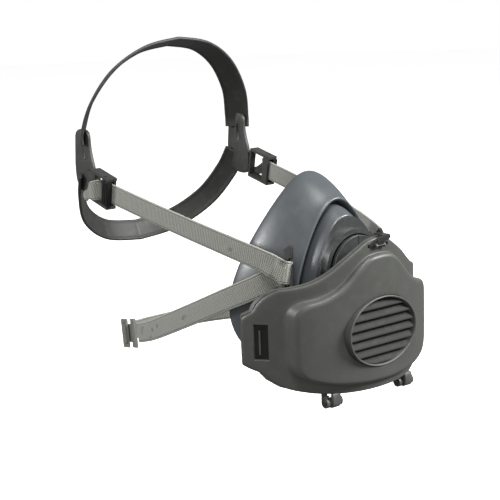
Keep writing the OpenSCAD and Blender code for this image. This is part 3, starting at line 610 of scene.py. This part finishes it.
# One loop a line: y, half width, half height, centre z, narrowing at the top, sweep back at the sides
seal = [
    (-11, SEAL_W, SEAL_H, 0.5, 0.4, 20),
    (-17, SEAL_W - 0.8, SEAL_H - 1, 0.4, 0.39, 16),
    (-24, SEAL_W - 4.4, SEAL_H - 4, 0, 0.37, 10),
    (-31, SEAL_W - 9.4, SEAL_H - 7.3, -1, 0.34, 5),
    (-37, SEAL_W - 13.6, SEAL_H - 10, -2.5, 0.31, 2),
    (-40.4, RIM_W + 0.6, RIM_H + 0.5, -3.5, 0.3, 0.4),
    (RIM_Y - 0.2, RIM_W - 0.5, RIM_H - 0.5, -3.5, 0.3, 0),
    (RIM_Y - 0.4, RIM_W - 1.9, RIM_H - 1.9, -3.5, 0.3, 0),
    (RIM_Y + 1.4, RIM_W - 3.2, RIM_H - 3.2, -3.5, 0.3, 0),
    (GROOVE_Y - 1.6, RIM_W - 3.9, RIM_H - 3.9, -3.5, 0.3, 0),
    (GROOVE_Y + 0.1, RIM_W - 4.6, RIM_H - 4.4, -3.5, 0.3, 0),
    (GROOVE_Y + 0.1, RIM_W - 6.2, RIM_H - 5.2, -3.5, 0.29, 0),
    (-37.5, PLATE_W + 1.5, PLATE_H + 5.8, -3.5, 0.285, 0),
    (-43, PLATE_W + 1.1, PLATE_H + 5, -3.5, 0.28, 0),
    (NECK_Y + 3.6, PLATE_W + 0.2, PLATE_H + 2, -4, 0.265, 0),
    (NECK_Y + 1, PLATE_W - 0.5, PLATE_H + 1, -4, 0.26, 0),
    (NECK_Y, PLATE_W - 1.5, PLATE_H - 0.2, -4, 0.25, 0),
    (NECK_Y, PLATE_W - 3.6, PLATE_H - 2.4, -4, 0.25, 0),
    (-43, PLATE_W - 2, PLATE_H + 1.8, -3.7, 0.27, 0),
    (GROOVE_Y + 2.4, PLATE_W - 1.5, PLATE_H + 3, -3.5, 0.28, 0),
    (GROOVE_Y + 2.8, RIM_W - 2.6, RIM_H - 2.6, -3.2, 0.3, 1),
    (-29, SEAL_W - 12, SEAL_H - 9.6, -1, 0.34, 5),
    (-22, SEAL_W - 7.2, SEAL_H - 6.6, 0, 0.37, 9),
    (-15, SEAL_W - 3.6, SEAL_H - 3.7, 0.3, 0.39, 14),
    (-9.5, SEAL_W - 3, SEAL_H - 3.2, 0.4, 0.4, 18),
    (-7.5, SEAL_W - 9, SEAL_H - 9.5, 0.4, 0.4, 17),
    (-6, SEAL_W - 9, SEAL_H - 9.5, 0.4, 0.4, 17),
    (-7.0, SEAL_W - 1.6, SEAL_H - 1.8, 0.5, 0.4, 20)]
loops = []
for y, a, b, zc, k, sweep in seal:
    t = np.linspace(0, 2 * math.pi, 64, endpoint=False)
    x = a * np.cos(t) * (1 - k * np.sin(t))
    loops.append(np.stack([x, y + sweep * (x / 56) ** 2, zc + b * np.sin(t)], axis=1))
face = loft("facepiece_rubber", loops, closed=True)
mod = face.modifiers.new("smooth", "SUBSURF")
mod.levels = mod.render_levels = 2
applied(face)
face.data.shade_smooth()
finished(face, "mask", "rubber", rubber, "facepiece")

# ---------- harness ----------

def unit(v):
    v = np.asarray(v, float)
    return v / max(np.linalg.norm(v), 1e-9)

def tangents(path):
    return [unit(path[min(i + 1, len(path) - 1)] - path[max(i - 1, 0)]) for i in range(len(path))]

def band_section(width, thick, rim=0.0, n=4):
    """Rounded-edge cross-section: (across, out) pairs. rim raises the two long edges."""
    w, t = width / 2, thick / 2
    pts = []
    for side in (1, -1):
        for k in range(n + 1):
            a = math.pi / 2 - math.pi * k / n
            pts.append((side * (w - t + t * math.cos(a)), side * (t + rim) * math.sin(a)))
        if rim:
            pts += [(side * (w - t - 1.0), -side * (t + rim)), (side * (w - t - 1.6), -side * t)]
        inner = np.linspace(1, -1, 9)[1:-1] * (w - t - (1.9 if rim else 0.6))
        pts += [(side * s, -side * t) for s in inner]
        if rim:
            pts += [(-side * (w - t - 1.6), -side * t), (-side * (w - t - 1.0), -side * (t + rim))]
    return pts

def band(name, path, across, width, thick, rim=0.0, waist=None):
    path = np.asarray(path, float)
    section = band_section(width, thick, rim)
    dirs = tangents(path)
    steps = np.concatenate([[0], np.cumsum(np.linalg.norm(np.diff(path, axis=0), axis=1))])
    loops = []
    for i, p in enumerate(path):
        side = unit(np.asarray(across[i]) - np.dot(across[i], dirs[i]) * dirs[i])
        out = np.cross(dirs[i], side)
        k = waist(steps[i], steps[-1]) if waist else 1
        loops.append([p + side * s * k + out * h for s, h in section])
    return loft(name, loops, caps=True, uv=(steps * MM, [s * MM for s, _ in section]))

STRAP_W, STRAP_T, BAND_W, BAND_T = 16, 1.6, 22, 2.0
splay = lean = math.radians(15)
yoke_back = np.array([math.sin(splay), math.cos(splay), 0])
yoke_face = np.array([math.cos(lean) * math.cos(splay), -math.cos(lean) * math.sin(splay), math.sin(lean)])
yoke_up = np.cross(yoke_back, -yoke_face)
bar_centre = np.array([49, -51, -10]) + 8 * yoke_back + 22.4 * yoke_up
FOLD_R = 3.2
fold = [bar_centre + FOLD_R * (math.cos(a) * yoke_face - math.sin(a) * yoke_back)
        for a in np.linspace(0, math.pi, 13)]
# The routes of the left strap: tail, upper run, fold round the yoke's bar, lower run and round the nape
tail_route = [[83, 169, 43.6], [82.4, 165.6, 44.6], [84, 160, 46.4], [85.4, 153, 49], [84.6, 149, 50.6],
              [81, 146.4, 51.4], [77.4, 144.2, 50.9], [76.8, 139.4, 50.2], [76.7, 133.8, 49]]
upper_route = [[76.7, 133.4, 48.9], [72.4, 80, 40], [66.6, 36, 32], [60, -2, 24.6], [54, -26, 19],
               [50.4, -35, 15.4]]
lower_route = [[44, -37.4, 9.4], [46, -32.8, 7.2], [50.6, -26.6, 3.6], [56.4, -16, -2.6], [61.8, 7, -13.4],
               [65, 40, -28.6], [66.6, 70, -42], [64.6, 96, -53], [60.6, 118, -61.2], [56.6, 141, -68.4]]
nape_route = [[56.6, 141, -68.4], [50.6, 165, -74.6], [38, 180, -78], [20, 189, -80], [0, 192, -81],
              [-18, 189.6, -80.4], [-32, 184, -79.2], [-40.6, 177, -77.4]]

def strap_lean(p):
    w = max(0, 1 - np.linalg.norm(p - bar_centre) / 18)
    return w * yoke_up + (1 - w) * np.array([0, 0, 1])

def tail_shape(s, total):
    """The tail's end is rounded, with a narrower waist just behind it."""
    end = math.sqrt(max(1 - (1 - min(s / 4, 1)) ** 2, 0.08))
    waist = 1 - 0.46 / (1 + math.exp((s - 18) / 1.6)) - 0.1 * math.exp(-((s - 9) / 3.5) ** 2)
    return end * waist

for side, word in ((1, "left"), (-1, "right")):
    line = np.concatenate([spline(tail_route, 8), spline(upper_route, 14), fold, spline(lower_route, 10)]
                          + ([spline(nape_route, 10)[1:]] if side > 0 else []))
    across = np.array([strap_lean(p) for p in line])
    line[:, 0] *= side
    across[:, 0] *= side
    strap = band("strap_" + word, line, across, STRAP_W, STRAP_T, waist=tail_shape)
    finished(strap, "mask", "strap", knit, "harness_strap_" + word)

# Head cradle: a crown band, a rear band and two side plates
crown_route = [[75.6, 178, 84], [75.2, 177.6, 94], [69, 172, 117], [52, 165, 141], [28, 159, 156],
               [0, 157, 161]]
occiput_route = [[75.4, 182, 62], [72, 193, 44], [60, 210, 20], [34, 224, 2], [0, 229, -4]]

def with_mirror(line):
    return np.concatenate([line, (line * (-1, 1, 1))[-2::-1]])

for route, centre, width, name in ((crown_route, (0, 130, 60), BAND_W, "cradle_crown"),
                                   (occiput_route, (0, 110, 60), BAND_W - 3, "cradle_rear")):
    line = with_mirror(spline(route, 12))
    across = [np.cross(p - centre, d) for p, d in zip(line, tangents(line))]
    part = band(name, line, across, width, BAND_T, rim=0.35)
    finished(part, "mask", "cradle_plastic", cradle_plastic, "head_cradle")

plate = [(161.6, 48), (161.6, 66), (165, 74), (167.6, 84), (167.6, 96), (188, 96), (190, 80), (192, 64),
         (190, 50), (178, 44), (166, 44)]
plate_slot = [(174.4, 71.6), (177.6, 71.6), (177.6, 86.4), (174.4, 86.4)]
for s, word in ((1, "left"), (-1, "right")):
    part = prism("cradle_plate_" + word, rounded(plate, 2), s * 74.2, s * 76.9, lambda u, v, d: (d, u, v), 0)
    cut(part, prism("slot", rounded(plate_slot, 2), 60 * s, 90 * s, lambda u, v, d: (d, u, v), 0))
    mod = part.modifiers.new("edges", "BEVEL")
    mod.width = 0.5 * MM
    mod.segments = 3
    mod.limit_method = "ANGLE"
    mod.angle_limit = math.radians(50)
    applied(part)
    part.data.shade_smooth()
    smooth_by_angle(part, 40)
    finished(part, "mask", "cradle_plastic", cradle_plastic, "head_cradle")

# ---------- CAD nodes that keep their shape ----------

kept = {
    "front_body": (body_plastic, 0.6), "exhalation_cover": (body_plastic, 0.5),
    "inhalation_seat": (dark_plastic, 0.2), "exhalation_seat": (dark_plastic, 0.2),
    "inhalation_flap": (valve_rubber, 0.15),
    "exhalation_flap": (valve_rubber, 0.15), "port_gasket": (rubber, 0.3), "filter_base": (box_plastic, 0.5),
    "filter_grid": (dark_plastic, 0.3), "clip_pin": (steel, 0.15), "hinge_pins": (steel, 0.3),
    "strap_yoke_left": (dark_plastic, 0.6), "strap_yoke_right": (dark_plastic, 0.6),
    "adjuster_frame_left": (cradle_plastic, 0.4), "adjuster_frame_right": (cradle_plastic, 0.4),
    "adjuster_cam_left": (dark_plastic, 0.4), "adjuster_cam_right": (dark_plastic, 0.4),
    "neck_clasp_hook": (clasp_plastic, 0.5), "neck_clasp_loop": (clasp_plastic, 0.5)}
for name, (material, width) in kept.items():
    obj = nodes[name]
    obj.data.shade_smooth()
    obj.data.materials.clear()
    obj.data.materials.append(material)
    weld = obj.modifiers.new("weld", "WELD")
    weld.merge_threshold = 1e-5
    flat = obj.modifiers.new("flat", "DECIMATE")
    flat.decimate_type = "DISSOLVE"
    flat.angle_limit = math.radians(1)
    edges = obj.modifiers.new("edges", "BEVEL")
    edges.width = width * MM
    edges.segments = 3
    edges.limit_method = "ANGLE"
    edges.angle_limit = math.radians(40)
    edges.use_clamp_overlap = True
    weighted = obj.modifiers.new("normals", "WEIGHTED_NORMAL")
    weighted.keep_sharp = False

# ---------- floor, light and sky ----------

floor_z = cad_box[0].z / MM - 60
FLOOR_INNER, FLOOR_REACH, FLOOR_RINGS = 20, 6000, 24
turns = np.linspace(0, 2 * math.pi, 96)[:-1]
floor = loft("floor", [[(r * math.cos(a), r * math.sin(a), floor_z) for a in turns]
                       for r in np.geomspace(FLOOR_INNER, FLOOR_REACH, FLOOR_RINGS)])
m, tree, shader = nodes_of("pale_floor")
coords = tree.nodes.new("ShaderNodeTexCoord").outputs["Object"]
tree.links.new(mixed(tree, span(tree, noise(tree, coords, 3, 2), 0, 1), colour((0.86, 0.86, 0.85)),
                     colour((0.9, 0.9, 0.89))), shader.inputs["Base Color"])
shader.inputs["Roughness"].default_value = 0.9
shader.inputs["Emission Color"].default_value = (1, 1, 1, 1)
shader.inputs["Emission Strength"].default_value = 0.74
floor.data.materials.append(m)
floor.visible_diffuse = False
floor.visible_glossy = False

def area_light(name, azimuth, elevation, distance, size, watts, tint=(1, 1, 1)):
    light = bpy.data.lights.new(name, "AREA")
    light.shape = "DISK"
    light.size = size
    light.energy = watts
    light.color = tint
    obj = bpy.data.objects.new(name, light)
    scene.collection.objects.link(obj)
    aim = Vector((0, 0.02, 0))
    d = direction(azimuth, elevation)
    obj.location = aim + d * distance
    obj.rotation_euler = d.to_track_quat("Z", "Y").to_euler()

area_light("key", 38, 36, 1.5, 0.6, 42)
area_light("top", -40, 66, 1.6, 0.6, 20)
area_light("rim", -126, 20, 1.5, 0.4, 13)
area_light("fill", -40, 14, 1.6, 0.8, 5)

world = bpy.data.worlds.new("studio")
scene.world = world
world.use_nodes = True
tree = world.node_tree
path = tree.nodes.new("ShaderNodeLightPath")
sky = tree.nodes["Background"]
sky.inputs[0].default_value = (1, 1, 1, 1)
sky.inputs[1].default_value = 0.26
plain = tree.nodes.new("ShaderNodeBackground")
plain.inputs[1].default_value = 1.0
mix = tree.nodes.new("ShaderNodeMixShader")
tree.links.new(path.outputs["Is Camera Ray"], mix.inputs[0])
tree.links.new(sky.outputs[0], mix.inputs[1])
tree.links.new(plain.outputs[0], mix.inputs[2])
tree.links.new(mix.outputs[0], tree.nodes["World Output"].inputs[0])
plain.inputs[0].default_value = (1, 1, 1, 1)
scene.view_settings.view_transform = "Standard"

bpy.context.view_layer.update()
